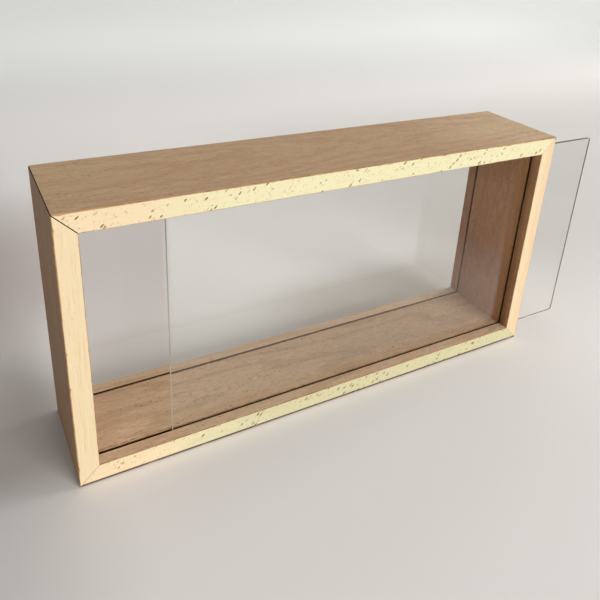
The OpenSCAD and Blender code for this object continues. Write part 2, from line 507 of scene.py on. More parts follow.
def upright_edge():
    """Planed beech across the front and back edges of the two side boards. Turned a quarter,
    the third axis looks to the left, so its opposite counts outwards on the right board."""
    material, tree, shader = new_finish("beech_edge_upright")
    space = grain_space(tree, UPRIGHT)
    wander = share_of(tree, cloud(tree, space, WANDER_SIZE, 3), BORDER_WANDER)
    outward = maths(tree, "SUBTRACT", wander, axes(tree, space)[2])
    # Painted shade darkens the right edge's outer side a little
    colour = tint(tree, between(tree, outward, *OUTER_SHADE_BORDER), UPRIGHT_CREAM, OUTER_SHADE_CREAM)
    streak = cloud(tree, space, UPRIGHT_STREAK, 3, 0.6)
    tan = share_of(tree, between(tree, streak, 0.48, 0.72), TAN_SHARE)
    colour = tint(tree, tan, colour, UPRIGHT_TAN)
    pale = between(tree, cloud(tree, space, PALE_STREAK, 3, 0.6), 0.55, 0.75)
    colour = tint(tree, share_of(tree, pale, PALE_SHARE), colour, UPRIGHT_PALE)
    marks, _ = spindles(tree, ragged(tree, space, 0.6, 0.4), MARK_CELL, 0.2, 0.4)
    colour = tint(tree, share_of(tree, marks, MARK_SHARE), colour, UPRIGHT_MARK)
    relief = share_of(tree, streak, -1.0)
    rough = ranged(tree, streak, *EDGE_ROUGH)
    return surface(material, tree, shader, colour, relief, 0.02, rough)


EDGES = {LEVEL: level_edge(), UPRIGHT: upright_edge()}
print("edge finishes:", ", ".join(finish.name for finish in EDGES.values()))

# %% [markdown]
# Two small finishes belong to what a hand or a saw has touched. The eased arrises are darker,
# from handling, and darkest, with painted contact shadow, where the case stands on the lowest
# ones. The mitres show end grain, which drinks in light and is dark, with pores. Both could be
# one flat brown, but blots of a second one keep a thin line from looking printed.

# %% Worn arrises and end grain
ARRIS_TAN, ARRIS_BROWN = srgb(186, 148, 108), srgb(138, 100, 66)
# Painted contact shadow where the case stands on its lowest arrises
CONTACT_SHADE_BROWN = srgb(70, 50, 34)
END_BROWN, PORE_BROWN = srgb(104, 74, 50), srgb(66, 44, 28)
# Sizes of the blots, in mm, and the depth of their relief
WEAR_SIZE, PORE_SIZE, SMALL_RELIEF = (5, 2, 2), (1, 0.5, 0.5), 0.03
# The lowest arrises lie below these heights, and there contact shadow is painted
CONTACT_SHADE_LINE = (0.75, 0.4)


def beech_small(name, turn, colour, shade, sizes, rough):
    """A plain beech surface: one colour, blots of a darker one, and its roughness."""
    material, tree, shader = new_finish(name)
    space = grain_space(tree, turn)
    blots = cloud(tree, space, sizes, 4, 0.65)
    mixed = tint(tree, between(tree, blots, 0.4, 0.75), colour, shade)
    spread = ranged(tree, blots, rough - 0.1, rough + 0.1)
    return surface(material, tree, shader, mixed, blots, SMALL_RELIEF, spread)


def worn_arris(name, turn):
    """The eased edges: darker from handling, and painted dark with contact shadow where the case
    stands on its lowest ones.
    """
    material, tree, shader = new_finish(name)
    space = grain_space(tree, turn)
    wear = cloud(tree, space, WEAR_SIZE, 4, 0.65)
    colour = tint(tree, between(tree, wear, 0.4, 0.75), ARRIS_TAN, ARRIS_BROWN)
    height = axes(tree, grain_space(tree, LEVEL))[2]
    colour = tint(tree, between(tree, height, *CONTACT_SHADE_LINE), colour, CONTACT_SHADE_BROWN)
    rough = ranged(tree, wear, 0.4, 0.6)
    return surface(material, tree, shader, colour, wear, SMALL_RELIEF, rough)


# %% [markdown]
# The grooves are sawn. They are hardly wider than the panes, so they show as fine dark lines.
# Shade alone would leave those lines too pale, because light also runs in through the clear
# sheet, so the depth is painted dark, as shade. Where the front pane is drawn out, its groove
# lies bare and light falls in, and there the wall stays plain wood, without the painted shade,
# for a little way below its mouth.

# %% Sawn groove walls
MOUTH_TAN, MOUTH_BROWN = srgb(206, 168, 126), srgb(150, 104, 66)
# The painted shade in the grooves' depth
GROOVE_SHADE, GROOVE_SHADE_DARK = srgb(52, 32, 20), srgb(36, 22, 14)
# How far down a bare groove's wall stays plain wood, free of painted shade, in mm, and where
# the front pane begins
BARE_MOUTH = 0.9
BARE_END = front_low.x / MM
# Where the painted shade starts and is full, in mm below the mouth
GROOVE_SHADE_LINE, SAW_SIZE = (-0.05, 0.3), (4, 0.4, 0.4)


def groove_wall(name, turn):
    """Sawn walls, painted dark below their mouth, as shade. Where the drawn pane leaves the front
    groove bare, the plain wood of the mouth reaches further down."""
    material, tree, shader = new_finish(name)
    space = grain_space(tree, turn)
    along, across, _ = axes(tree, space)
    bare = overlap(tree, between(tree, along, BARE_END + 0.5, BARE_END - 0.5),
                   between(tree, across, 0.5, -0.5))
    below_mouth = maths(tree, "SUBTRACT", past_inner_face(tree, space, turn),
                        share_of(tree, bare, BARE_MOUTH))
    deep = between(tree, below_mouth, *GROOVE_SHADE_LINE)
    saw = cloud(tree, space, SAW_SIZE, 4, 0.65)
    mouth = tint(tree, between(tree, saw, 0.4, 0.7), MOUTH_TAN, MOUTH_BROWN)
    shaded_depth = tint(tree, between(tree, saw, 0.4, 0.75), GROOVE_SHADE, GROOVE_SHADE_DARK)
    colour = tint(tree, deep, mouth, shaded_depth)
    rough = ranged(tree, saw, 0.7, 0.9)
    return surface(material, tree, shader, colour, saw, SMALL_RELIEF, rough)


print("front groove bare up to, mm:", round(BARE_END, 1))

# %% [markdown]
# A board carries five finishes, one for each kind of strip in its outline. Boards that run the
# same way share four of them, and only the broad faces have a tone of their own. The tones are
# those of bare beech with light and shade painted in. The left board's outer face is painted
# darker, as shade, and the bottom board's inner face lighter. The right board's inner face is
# warmer, as the warm shade inside the case, and painted shade dims its lower end and back lip.
# The level boards' right ends are painted lighter, as where more light falls.

# %% The finishes of each board
FACE, EDGE, ARRIS, SAWN, MITRE = range(5)
# White as the painted shade leaves a tone as it is
WHITE = (255, 255, 255)
# A board's tones, with light and shade painted in: on its inner face, on its outer face and at
# its far end, then the painted shade on its near end and back lip
TONES_AND_PAINTED_LIGHT = {
    "top_board": ((194, 165, 130), (194, 165, 130), (216, 188, 154), WHITE),
    "bottom_board": ((243, 211, 173), (212, 180, 145), (253, 221, 184), WHITE),
    "left_board": ((192, 160, 130), (164, 135, 109), (172, 144, 116), WHITE),
    "right_board": ((222, 168, 121), (210, 182, 149), (220, 170, 126), (228, 224, 228)),
}
# Where the heart line of each board's tree lay, on the second and third axes in mm, and how
# far it leans with each mm along the grain
HEARTS = {"top_board": ((8, 100), 0.04), "bottom_board": ((-14, -90), 0.03),
          "left_board": ((-6, 110), 0.015), "right_board": ((5, -110), 0.02)}


def shared_finishes(kind, turn):
    """What boards that run the same way share, in the order EDGE, ARRIS, SAWN and MITRE."""
    return [
        EDGES[turn],
        worn_arris(f"beech_arris_{kind}", turn),
        groove_wall(f"beech_sawn_{kind}", turn),
        beech_small(f"beech_end_{kind}", turn, END_BROWN, PORE_BROWN, PORE_SIZE, 0.8),
    ]


SHARED = {LEVEL: shared_finishes("level", LEVEL), UPRIGHT: shared_finishes("upright", UPRIGHT)}
FINISHES = {}
for board_name, (*tones, painted_shade) in TONES_AND_PAINTED_LIGHT.items():
    place = board_name.split("_")[0]
    turn = LEVEL if place in ("top", "bottom") else UPRIGHT
    face = beech_face(f"beech_{place}", turn, *HEARTS[board_name], tones, painted_shade)
    FINISHES[board_name] = [face, *SHARED[turn]]
print("finishes made:", len(bpy.data.materials))

# %% [markdown]
# On the bench a board is planed, its edges are eased with a few strokes of fine paper, and two
# grooves are sawn along its inner face. A Bevel modifier would ease all edges alike, so the
# cross-section is drawn instead, as sharp corners plus a share of the easing: a rounded point
# is its corner moved by the easing's radius. The radius then may change along the board, as a
# hand-sanded edge does.

# %% The cross-section of a board
ARC_STEPS = 5
MOUTH_EASE = 0.12 * MM
# The outer corners are eased again once the frame is glued, so they are this much rounder
OUTER_EASE = 1.8


def rounded_corner(corner, from_side, to_side):
    """Points round a corner as (sharp corner, offset per unit of radius). The offsets run on a
    quarter circle from the side left behind to the side that follows."""
    angle = np.linspace(0, math.pi / 2, ARC_STEPS)[:, None]
    leave, enter = np.array(from_side, float), np.array(to_side, float)
    offset = leave * (1 - np.sin(angle)) + enter * (1 - np.cos(angle))
    return np.tile(corner, (ARC_STEPS, 1)), offset


def board_section(grooved):
    """The outline as (across, inward) pairs: sharp points, offsets per unit of easing, fixed
    offsets at the groove mouths, and the finish of the strip that starts at each point."""
    sharp, easing, fixed, finish = [], [], [], []

    def corner(point, back, ahead, strip_after, share=1.0):
        at, offset = rounded_corner(point, back, ahead)
        sharp.extend(at)
        easing.extend(offset * share)
        fixed.extend(np.zeros_like(offset))
        finish.extend([ARRIS] * (ARC_STEPS - 1) + [strip_after])

    def crisp(point, strip_after, moved=(0, 0)):
        sharp.append(np.array(point, float))
        easing.append(np.zeros(2))
        fixed.append(np.array(moved, float) * MOUTH_EASE)
        finish.append(strip_after)

    corner((-HALF_D, 0), (0, 1), (1, 0), FACE, OUTER_EASE)
    corner((HALF_D, 0), (-1, 0), (0, 1), EDGE, OUTER_EASE)
    corner((HALF_D, BOARD_T), (0, -1), (-1, 0), FACE)
    for middle in (GROOVE_Y, -GROOVE_Y) if grooved else ():
        right, left = middle + GROOVE_W / 2, middle - GROOVE_W / 2
        crisp((right, BOARD_T), SAWN, (1, 0))
        crisp((right, BOARD_T), SAWN, (0, -1))
        crisp((right, BOARD_T - GROOVE_DEPTH), SAWN)
        crisp((left, BOARD_T - GROOVE_DEPTH), SAWN)
        crisp((left, BOARD_T), SAWN, (0, -1))
        crisp((left, BOARD_T), FACE, (-1, 0))
    corner((-HALF_D, BOARD_T), (1, 0), (0, -1), EDGE)
    return np.array(sharp), np.array(easing), np.array(fixed), np.array(finish)


GROOVED, PLAIN = board_section(True), board_section(False)
print("points in a grooved cross-section:", len(GROOVED[0]), "and in a plain one:", len(PLAIN[0]))

# %% [markdown]
# Hand sanding leaves an edge a little rounder in some places than in others. Random numbers
# would do, but a few slow waves added together look the same and are a formula, so each run
# makes the same board. Narrow bumps on top of the waves stand for the odd knock.

# %% How the easing changes along a board
EASE_R = 0.32 * MM
# The slow waves: each one's number, their common height and how fast they follow each other
WAVES, WAVE_HEIGHT, WAVE_PACE = (1, 2, 3, 5), 0.11, 5.3
# The knocks: how many, how wide as a share of the length, and their height as a share of the easing
KNOCKS, KNOCK_WIDTH, KNOCK_HEIGHT = 4, 0.012, 0.8


def easing_along(share, seed):
    """Radius of the eased edge at each share of the length, from -1 to 1: a base radius times
    one plus slow sine waves, the faster the lower, plus a few narrow bell curves, whose places
    are the sines of numbers far apart."""
    waves = sum(WAVE_HEIGHT / n * np.sin(n * WAVE_PACE * share + seed * n * 1.7) for n in WAVES)
    places = np.sin(seed * 12.9 + np.arange(KNOCKS) * 4.1)
    knocks = sum(np.exp(-((share - place) / KNOCK_WIDTH) ** 2) for place in places)
    return EASE_R * (1 + waves + KNOCK_HEIGHT * knocks)


sample = easing_along(np.linspace(-1, 1, 200), len("top_board")) / MM
print("easing of the top board, mm:", round(sample.min(), 2), "to", round(sample.max(), 2))

# %% [markdown]
# A board is its cross-section carried from one mitre to the other. A mitre is a slope of 45
# degrees, which a saw cuts and a Boolean could cut too. Here it is built in, and stays exact: a
# point that lies deeper in the board by some distance ends sooner by that same distance. The
# rim of each mitre is broken slightly, and a joint that has opened is a board cut back by a
# hair. In this case the upper left joint shows such a dark line.

# %% Carry the cross-section from mitre to mitre
STATIONS = 120
RIM = 0.07 * MM


def inward_normals(points):
    """Unit vectors into a closed outline, from the sum of its two neighbouring edges turned."""
    step = np.roll(points, -1, axis=0) - np.roll(points, 1, axis=0)
    normal = np.stack([-step[:, 1], step[:, 0]], axis=1)
    return normal / np.linalg.norm(normal, axis=1, keepdims=True)


def board_loops(outline, half_length, seed, open_low, open_high):
    """Loops of (along, across, inward) for a board: at each station the outline is eased by
    its own radius, and along is the station's share of the length left by the mitre slope."""
    sharp, easing, fixed = outline[:3]
    share = np.linspace(-1, 1, STATIONS)
    radius = easing_along(share, seed)[:, None, None]
    section = sharp + fixed + radius * easing
    section = np.concatenate([section[:1], section, section[-1:]])
    share = np.concatenate([[-1], share, [1]])
    rim = RIM * inward_normals(sharp + fixed + EASE_R * easing)
    section[0] += rim
    section[-1] += rim
    inward = section[:, :, 1]
    reach = half_length - inward
    cut_back = np.where(share < 0, open_low, open_high) * math.sqrt(2) * np.abs(share)
    cut_back[[1, -2]] += 2 * RIM
    along = share[:, None] * (reach - cut_back[:, None])
    return np.stack([along, section[:, :, 0], inward], axis=-1)


# %% [markdown]
# The same board is laid in the four places by saying which way its length and its inner face
# look. Turning finished objects would do it too, but every piece here keeps its place in its
# mesh. Top and bottom run from left to right, and the two sides stand up.

# %% Lay a board in its place
def level(loops, height, inward_sign):
    """Board loops laid along X, their outer face at a height, the inner face up or down."""
    along, across, inward = np.moveaxis(loops, -1, 0)
    return np.stack([along, across, height + inward_sign * inward], axis=-1)


def upright(loops, side):
    """Board loops stood along Z on the left or right side, the inner face to the middle."""
    along, across, inward = np.moveaxis(loops, -1, 0)
    return np.stack([side * (HALF_W - inward), across, CASE_H / 2 + along], axis=-1)


# Half the width of each mitre's open line: lower left, lower right, upper left, upper right
OPEN = {"bottom_left": 0.05 * MM, "bottom_right": 0.03 * MM,
        "top_left": 0.22 * MM, "top_right": 0.04 * MM}


def make_board(name):
    """One of the four boards, named after its CAD node with _wood added."""
    side = name.split("_")[0]
    outline = PLAIN if side == "right" else GROOVED
    if side in ("top", "bottom"):
        loops = board_loops(outline, HALF_W, len(name), OPEN[side + "_left"], OPEN[side + "_right"])
        height, inward = (CASE_H, -1) if side == "top" else (0.0, 1)
        placed = level(loops, height, inward)
    else:
        loops = board_loops(outline, CASE_H / 2, len(name),
                            OPEN["bottom_" + side], OPEN["top_" + side])
        placed = upright(loops, -1 if side == "left" else 1)
    return piece_from_loops(name + "_wood", placed, outline[3], MITRE)


BOARDS = {name: make_board(name) for name in FINISHES}
for name, board in BOARDS.items():
    dress(board, FINISHES[name])
print("faces in a board:", len(BOARDS["top_board"].data.polygons))

# %% [markdown]
# Two cuts are left to make. A spline sits in a kerf that crosses each mitre, and the right
# board has two slots right through it, which let the panes out. Neither runs along the board
# as its cross-section does, so they are cut as a router would cut them: a cutter is a closed
# shape of its own, and a Boolean modifier takes it away from the board. The slots' mouths flare
# by a hair, which eases their rims.

# %% Cutters for the kerfs and the slots
KERF_ROOM = 0.25 * MM
SLOT_RUN = 2 * MM
SLOT_FLARE = 0.15 * MM
SLOT_ARC_STEPS = 17
SPLINE_NAMES = [f"{level_name}_{side}_spline"
                for level_name in ("top", "bottom") for side in ("left", "right")]
SPLINE_T = 2 * MM


def strip_corners(name, room):
    """Eight corners of a spline laid square across its mitre, as two loops of four. Its box
    is a square turned by 45 degrees, so its width is the box's side times root two, less its
    thickness."""
    low, high = (np.array(corner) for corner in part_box(name))
    middle = (low + high) / 2
    width = (high[0] - low[0]) * math.sqrt(2) - SPLINE_T
    across = np.array([middle[0], 0, middle[2] - CASE_H / 2])
    across = np.sign(across) * np.array([1, 0, 1]) / math.sqrt(2)
    run = np.array([-across[2], 0, across[0]])
    half_run, half_t = (width / 2 + room) * run, SPLINE_T / 2 * across
    square = [-half_run - half_t, half_run - half_t, half_run + half_t, -half_run + half_t]
    depth = np.array([0, (high[1] - low[1]) / 2 + room, 0])
    return np.stack([middle + square - depth, middle + square + depth])


def slot_cutter(face):
    """A flat tube with round ends, run through the right board along X, wider at both mouths."""
    end = np.linspace(0, math.pi, SLOT_ARC_STEPS)
    half_h = CASE_H / 2 - GROOVE_FLOOR
    inside, outside = HALF_W - BOARD_T, HALF_W
    stops = [(inside - SLOT_RUN, 1), (inside, 1), (inside + SLOT_FLARE, 0),
             (outside - SLOT_FLARE, 0), (outside, 1), (outside + SLOT_RUN, 1)]
    loops = []
    for x, flare in stops:
        radius = GROOVE_W / 2 + flare * SLOT_FLARE
        y = np.concatenate([np.cos(end), -np.cos(end)]) * radius
        z = np.concatenate([half_h + np.sin(end) * radius, -half_h - np.sin(end) * radius])
        loops.append(np.stack([np.full_like(y, x), face * GROOVE_Y + y, CASE_H / 2 + z], axis=-1))
    return piece_from_loops("slot_cutter", np.array(loops), np.full(2 * len(end), SAWN), SAWN)


def cut(piece, cutters):
    """Takes the cutters away from the piece for good, and removes them."""
    for cutter in cutters:
        taken = piece.modifiers.new("cut", "BOOLEAN")
        taken.operation = "DIFFERENCE"
        taken.solver = "EXACT"
        taken.material_mode = "INDEX"
        taken.object = cutter
    bpy.context.view_layer.update()
    graph = bpy.context.evaluated_depsgraph_get()
    cut_mesh = bpy.data.meshes.new_from_object(piece.evaluated_get(graph))
    piece.modifiers.clear()
    piece.data = cut_mesh
    for cutter in cutters:
        bpy.data.objects.remove(cutter)


def kerf_cutter(spline_name):
    """A spline with room all round, to cut its kerf."""
    corners = strip_corners(spline_name, KERF_ROOM)
    return piece_from_loops("kerf_cutter", corners, np.full(4, SAWN), SAWN)


for board_name, board in BOARDS.items():
    side = board_name.split("_")[0]
    cutters = [kerf_cutter(name) for name in SPLINE_NAMES if side in name.split("_")]
    if side == "right":
        cutters += [slot_cutter(face) for face in (-1, 1)]
    for cutter in cutters:
        dress(cutter, board.data.materials)
    cut(board, cutters)
    print(board_name, "after its cuts:", len(board.data.polygons), "faces")

# %% [markdown]
# The four boards stand in for the plain ones and move with the case, which is the body that
# everything else slides in. Flat shading would show every strip of the eased edges, so the
# boards are smooth, and a Weighted Normal modifier keeps their large faces flat to the light.

# %% Fit the boards to the case
for board_name, board in BOARDS.items():
    board.modifiers.new("even shading", "WEIGHTED_NORMAL")
    board.data.polygons.foreach_set("use_smooth", np.ones(len(board.data.polygons), bool))
    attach(board, "case")
    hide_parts(board_name)
print("boards fitted:", ", ".join(BOARDS))

# %% [markdown]
# A spline is a short strip of harder beech glued across a mitre. It hides inside the joint, and
# its grain runs across the joint, so that it can't split along the glue line. Its long edges
# are broken slightly so that it starts easily. A plain box would do inside the joint, but the
# pieces can also be shown apart, and then a spline should look like what it is.

# %% The four splines
SPLINE_EDGE = 0.25 * MM
SPLINE_BROWN, CROSS_GRAIN = srgb(178, 134, 94), (0.6, 6, 0.6)


def make_spline(name):
    """A strip laid in its kerf: loops along the depth, drawn in by the edge size at both ends."""
    full = strip_corners(name, 0.0)
    middle = full.mean(axis=1, keepdims=True)
    size = np.linalg.norm(full[0, 1] - full[0, 0]) / 2
    drawn_in = middle + (full - middle) * (1 - SPLINE_EDGE / size)
    step = np.array([0, SPLINE_EDGE, 0])
    loops = np.stack([drawn_in[0], full[0] + step, full[1] - step, drawn_in[1]])
    return piece_from_loops(name + "_strip", loops)


SPLINE_FINISH = beech_small("spline_beech", LEVEL, SPLINE_BROWN, RAY_BROWN, CROSS_GRAIN, 0.7)
for name in SPLINE_NAMES:
    spline = make_spline(name)
    dress(spline, [SPLINE_FINISH])
    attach(spline, "case")
    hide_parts(name)
    print(name, "faces:", len(spline.data.polygons))

# %% [markdown]
# A pane is a sheet of clear acrylic with round corners. It is an outline carried through its
# thickness, with the rims broken by a hair. A single sheet of faces would look clear too, but
# only a solid bends light, and light that runs inside the sheet comes out at its edges, which
# is what makes them show as thin bright or dark lines. Three of the edges also have shade
# painted in.

# %% The shape of a pane
PANE_CORNER = 1.5 * MM
PANE_RIM = 0.1 * MM
CORNER_STEPS = 13
# A pane's strips: the clear faces, the sawn edge, and the edges painted dark as shade
CLEAR, SAWN_EDGE, SHADED_EDGE = range(3)


def pane_outline(low, high, inset):
    """A rectangle with quarter-circle corners, drawn in by an inset, as (x, z) points."""
    angle = np.linspace(0, math.pi / 2, CORNER_STEPS)
    radius = PANE_CORNER - inset
    corners = [(high.x, high.z), (low.x, high.z), (low.x, low.z), (high.x, low.z)]
    points = []
    for number, (x, z) in enumerate(corners):
        centre = np.array([x - math.copysign(PANE_CORNER, x - (low.x + high.x) / 2),
                           z - math.copysign(PANE_CORNER, z - (low.z + high.z) / 2)])
        turn = angle + number * math.pi / 2
        points.append(centre + radius * np.stack([np.cos(turn), np.sin(turn)], axis=1))
    return np.concatenate(points)


def make_pane(name):
    """The clear sheet in the place of its CAD node. Its left edge is left as sawn, and the
    other three, which rub in the grooves or are pulled by a finger, are painted dark, as shade."""
    low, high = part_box(name)
    stops = ((low.y, PANE_RIM), (low.y + PANE_RIM, 0),
             (high.y - PANE_RIM, 0), (high.y, PANE_RIM))
    loops = []
    for y, inset in stops:
        outline = pane_outline(low, high, inset)
        loops.append(np.stack([outline[:, 0], np.full(len(outline), y), outline[:, 1]], axis=1))
    strips = np.full(4 * CORNER_STEPS, SHADED_EDGE)
    strips[2 * CORNER_STEPS - 1] = SAWN_EDGE
    return piece_from_loops(name + "_sheet", np.array(loops), strips, CLEAR)


PANES = {name: make_pane(name) for name in ("front_pane", "back_pane")}

# %% [markdown]
# Clear acrylic bends light as its index says, and that would be right for lamps as well. But a
# path tracer hardly ever finds a lamp through a bending sheet, and the wood behind would stay
# in shadow. So for shadow rays alone the sheet is simply see-through. Its cut edges are dull
# and half clear: the sawn one glows with the light that the sheet carries, and the three others
# are painted dark, as the shade that such edges show.

# %% Clear acrylic
ACRYLIC_INDEX = 1.49
# What part of a lamp's light each face of the sheet lets through
LET_THROUGH = (0.975, 0.975, 0.975, 1)
SAWN_DARK, SAWN_LIGHT = srgb(236, 226, 212), srgb(246, 234, 216)
# The dark edges' colours, which are painted shade
EDGE_SHADE_DARK, EDGE_SHADE_LIGHT = srgb(96, 84, 74), srgb(126, 112, 100)
# Sizes of the smears in the polish and of the grooves in a cut edge, in mm
SMEAR_SIZE, TEETH_SIZE = (30, 30, 12), (2, 2, 0.4)


def give_out(material, tree, share, first, second):
    """Makes the finish a mix of two shaders by a share."""
    mixed = add(tree, "MixShader", {0: share, 1: first.outputs[0], 2: second.outputs[0]})
    tree.links.new(mixed.outputs[0], tree.nodes["Material Output"].inputs["Surface"])
    return material


def clear_acrylic():
    """Clear sheet: a smooth shader that lets nearly all light through, and lets the light of
    the lamps through unbent, with faint smears in its polish."""
    material, tree, shader = new_finish("clear_acrylic")
    shader.inputs["Base Color"].default_value = srgb(254, 255, 254)
    shader.inputs["Transmission Weight"].default_value = 1.0
    shader.inputs["IOR"].default_value = ACRYLIC_INDEX
    smear = cloud(tree, grain_space(tree, LEVEL), SMEAR_SIZE, 4, 0.6)
    tree.links.new(ranged(tree, smear, 0.0, 0.01), shader.inputs["Roughness"])
    unbent = add(tree, "BsdfTransparent", {"Color": LET_THROUGH})
    shadow = add(tree, "LightPath").outputs["Is Shadow Ray"]
    return give_out(material, tree, shadow, shader, unbent)


def cut_acrylic(name, dark, light, milky_share):
    """A cut edge: fine grooves across a dull surface. The milky share lets through what light
    the sheet carries from its other side."""
    material, tree, shader = new_finish(name)
    teeth = cloud(tree, grain_space(tree, LEVEL), TEETH_SIZE, 3, 0.7)
    colour = tint(tree, teeth, dark, light)
    surface(material, tree, shader, colour, teeth, 0.03, ranged(tree, teeth, 0.35, 0.6))
    shader.inputs["Transmission Weight"].default_value = 0.5
    shader.inputs["IOR"].default_value = ACRYLIC_INDEX
    milky = add(tree, "BsdfTranslucent", {"Color": light})
    return give_out(material, tree, milky_share, shader, milky)


ACRYLIC = [clear_acrylic(),
           cut_acrylic("sawn_acrylic", SAWN_DARK, SAWN_LIGHT, 0.6),
           cut_acrylic("shaded_edge_acrylic", EDGE_SHADE_DARK, EDGE_SHADE_LIGHT, 0.1)]
for name, pane in PANES.items():
    dress(pane, ACRYLIC)
    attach(pane, name)
    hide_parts(name)
print("finishes of a pane:", ", ".join(finish.name for finish in ACRYLIC))

# %% [markdown]
# The stage is one sheet of pale card that lies flat under the case and curves up behind it. A
# floor and a wall would be quicker to make, but a line would show where they meet. The sheet is
# a profile carried from side to side.

# %% The shape of the stage
STAGE_FRONT, STAGE_TOP, STAGE_HALF_W = -3.0, 3.0, 4.0
BEND_AT, BEND_R, BEND_STEPS = 0.75, 0.9, 33


def make_stage():
    """A profile in depth and height, flat, then a quarter circle, then straight up, carried
    along X."""
    turn = np.linspace(0, math.pi / 2, BEND_STEPS)
    y = np.concatenate([[STAGE_FRONT], BEND_AT + BEND_R * np.sin(turn), [BEND_AT + BEND_R]])
    z = np.concatenate([[0], BEND_R * (1 - np.cos(turn)), [STAGE_TOP]])
    across = np.array([-STAGE_HALF_W, STAGE_HALF_W])
    grid = np.stack(np.broadcast_arrays(across[:, None], y[None], z[None]), axis=-1)
    count = len(y)
    start = np.arange(count - 1)
    faces = np.stack([start, start + count, start + count + 1, start + 1], axis=1)
    mesh = bpy.data.meshes.new("stage")
    mesh.from_pydata(grid.reshape(-1, 3).tolist(), [], faces.tolist())
    mesh.polygons.foreach_set("use_smooth", np.ones(len(mesh.polygons), bool))
    stage = bpy.data.objects.new("stage", mesh)
    bpy.context.scene.collection.objects.link(stage)
    return stage


stage = make_stage()
print("strips in the stage:", len(stage.data.polygons))

# %% [markdown]
# Card under a window is never one even white: it turns slowly greyer away from the light. More
# lamps and screens could do that, but they would light the case too, so the greys are in the
# card's colour. Light Path tells which kind of ray asks for it, and some greys answer to some
# kinds alone. The floor to the front right is darker where a pane mirrors it. Blender counts a
# ray that a pane bends as a glossy one too, so that floor is also darker through a pane, and a
# drawn-out pane looks smoky from behind. The floor behind the case has a sharp border where it
# is seen through a pane. And the left is dark to scattered light, so that it sends little back
# onto the shaded side of the case.

# %% Masks for the card
def ridge(tree, value, start, full, fade, end):
    """1 from full to fade, 0 before start and after end, and smooth steps between them."""
    return overlap(tree, between(tree, value, start, full), between(tree, value, end, fade))


def shaded(tree, colour, tone, *masks):
    """The colour multiplied by a grey where all the masks overlap."""
    return tint(tree, overlap(tree, *masks), colour, srgb(*tone), "MULTIPLY")


def weighed(tree, side, depth, side_share, depth_share):
    """How far a point of the floor lies past a slanted line: a share of its way to the side
    less a share of its depth."""
    return maths(tree, "SUBTRACT", share_of(tree, side, side_share),
                 share_of(tree, depth, depth_share))


def looking(tree):
    """1 for rays that look, straight, by a mirror or through a pane, and 0 for those that only
    gather light. Also gives the glossy rays, which are those that a mirror or a pane sends on,
    and the ones through a pane alone."""
    path = add(tree, "LightPath").outputs
    glossy, through = path["Is Glossy Ray"], path["Is Transmission Ray"]
    seen = maths(tree, "ADD", path["Is Camera Ray"], maths(tree, "ADD", glossy, through))
    return maths(tree, "MINIMUM", seen, 1.0), glossy, through


# %% [markdown]
# Now the card itself. All places are in metres from the middle of the case: side counts to the
# right, and depth away from the front. A line on the floor that looks upright in a pane is a
# slanted one, worked out by following such rays back from the camera to the floor.

# %% Pale card
NEAR_WHITE, NEAR_WARM = srgb(246, 241, 238), srgb(249, 245, 242)
WALL_LOW, WALL_HIGH, WALL_RIGHT = srgb(239, 240, 237), srgb(222, 223, 220), srgb(210, 211, 208)
# What scattered light finds on the left, and what glossy rays find to the front right: a soft
# darker corner, and past a sharp line a darker floor
SCATTER_GREY, CORNER_GREY, BEYOND_GREY = (138, 137, 135), (151, 139, 133), (151, 149, 146)
# The shares of side and depth that slanted lines are counted by, which is also the way they face
LEFT_LINE, CORNER_LINE, BEYOND_LINE = (0.957, 0.29), (0.7071, 0.7071), (0.81, 0.59)
CARD_ROUGH, CARD_SHEEN = 0.45, 0.3


def card_ground(tree, place, side, depth):
    """The plain card: slightly cloudy near the case, cooler and greyer up the backdrop."""
    cloudy = add(tree, "TexNoise", {"Vector": place, "Scale": 3.0, "Detail": 2.0}).outputs[0]
    near = tint(tree, cloudy, NEAR_WHITE, NEAR_WARM)
    wall = tint(tree, between(tree, depth, 0.95, 1.15), WALL_LOW, WALL_HIGH)
    wall = tint(tree, between(tree, side, 0.9, 1.7), wall, WALL_RIGHT)
    return tint(tree, between(tree, depth, 0.5, 0.9), near, wall)


def painted_case_shadows(tree, colour, side, depth):
    """Soft greys on the floor: a wide one behind the case to the right, a small one close
    Painted shade and shadows of the case on the floor, as soft greys: a wide one behind the case
    to the right, a small one close behind its middle, one on all that lies to its left, and a
    small one at its left end."""
    colour = shaded(tree, colour, (231, 232, 231), between(tree, side, 0.0, 0.25),
                    ridge(tree, depth, -0.1, 0.1, 0.32, 0.6))
    colour = shaded(tree, colour, (222, 218, 215), ridge(tree, side, -0.03, 0.06, 0.13, 0.22),
                    ridge(tree, depth, 0.0, 0.04, 0.07, 0.12))
    colour = shaded(tree, colour, (222, 222, 222), between(tree, side, -0.12, -0.2))
    return shaded(tree, colour, (216, 211, 207), ridge(tree, side, -0.3, -0.22, -0.17, -0.13),
                  ridge(tree, depth, -0.035, 0.0, 0.03, 0.11))


def left_shade(tree, colour, side, depth, through):
    """A grey behind the left part of the case. Its border is soft, but sharp and further to
    the right when it is seen through a pane."""
    line = weighed(tree, side, depth, *LEFT_LINE)
    sharp = overlap(tree, between(tree, line, -0.083, -0.094), through)
    left = maths(tree, "MAXIMUM", between(tree, line, -0.139, -0.185), sharp)
    left = overlap(tree, left, between(tree, side, -0.6, -0.3),
                   ridge(tree, depth, 0.0, 0.2, 0.22, 0.4))
    grey = tint(tree, between(tree, side, -0.1, -0.15), srgb(223, 216, 215), srgb(208, 200, 198))
    return tint(tree, left, colour, grey, "MULTIPLY")


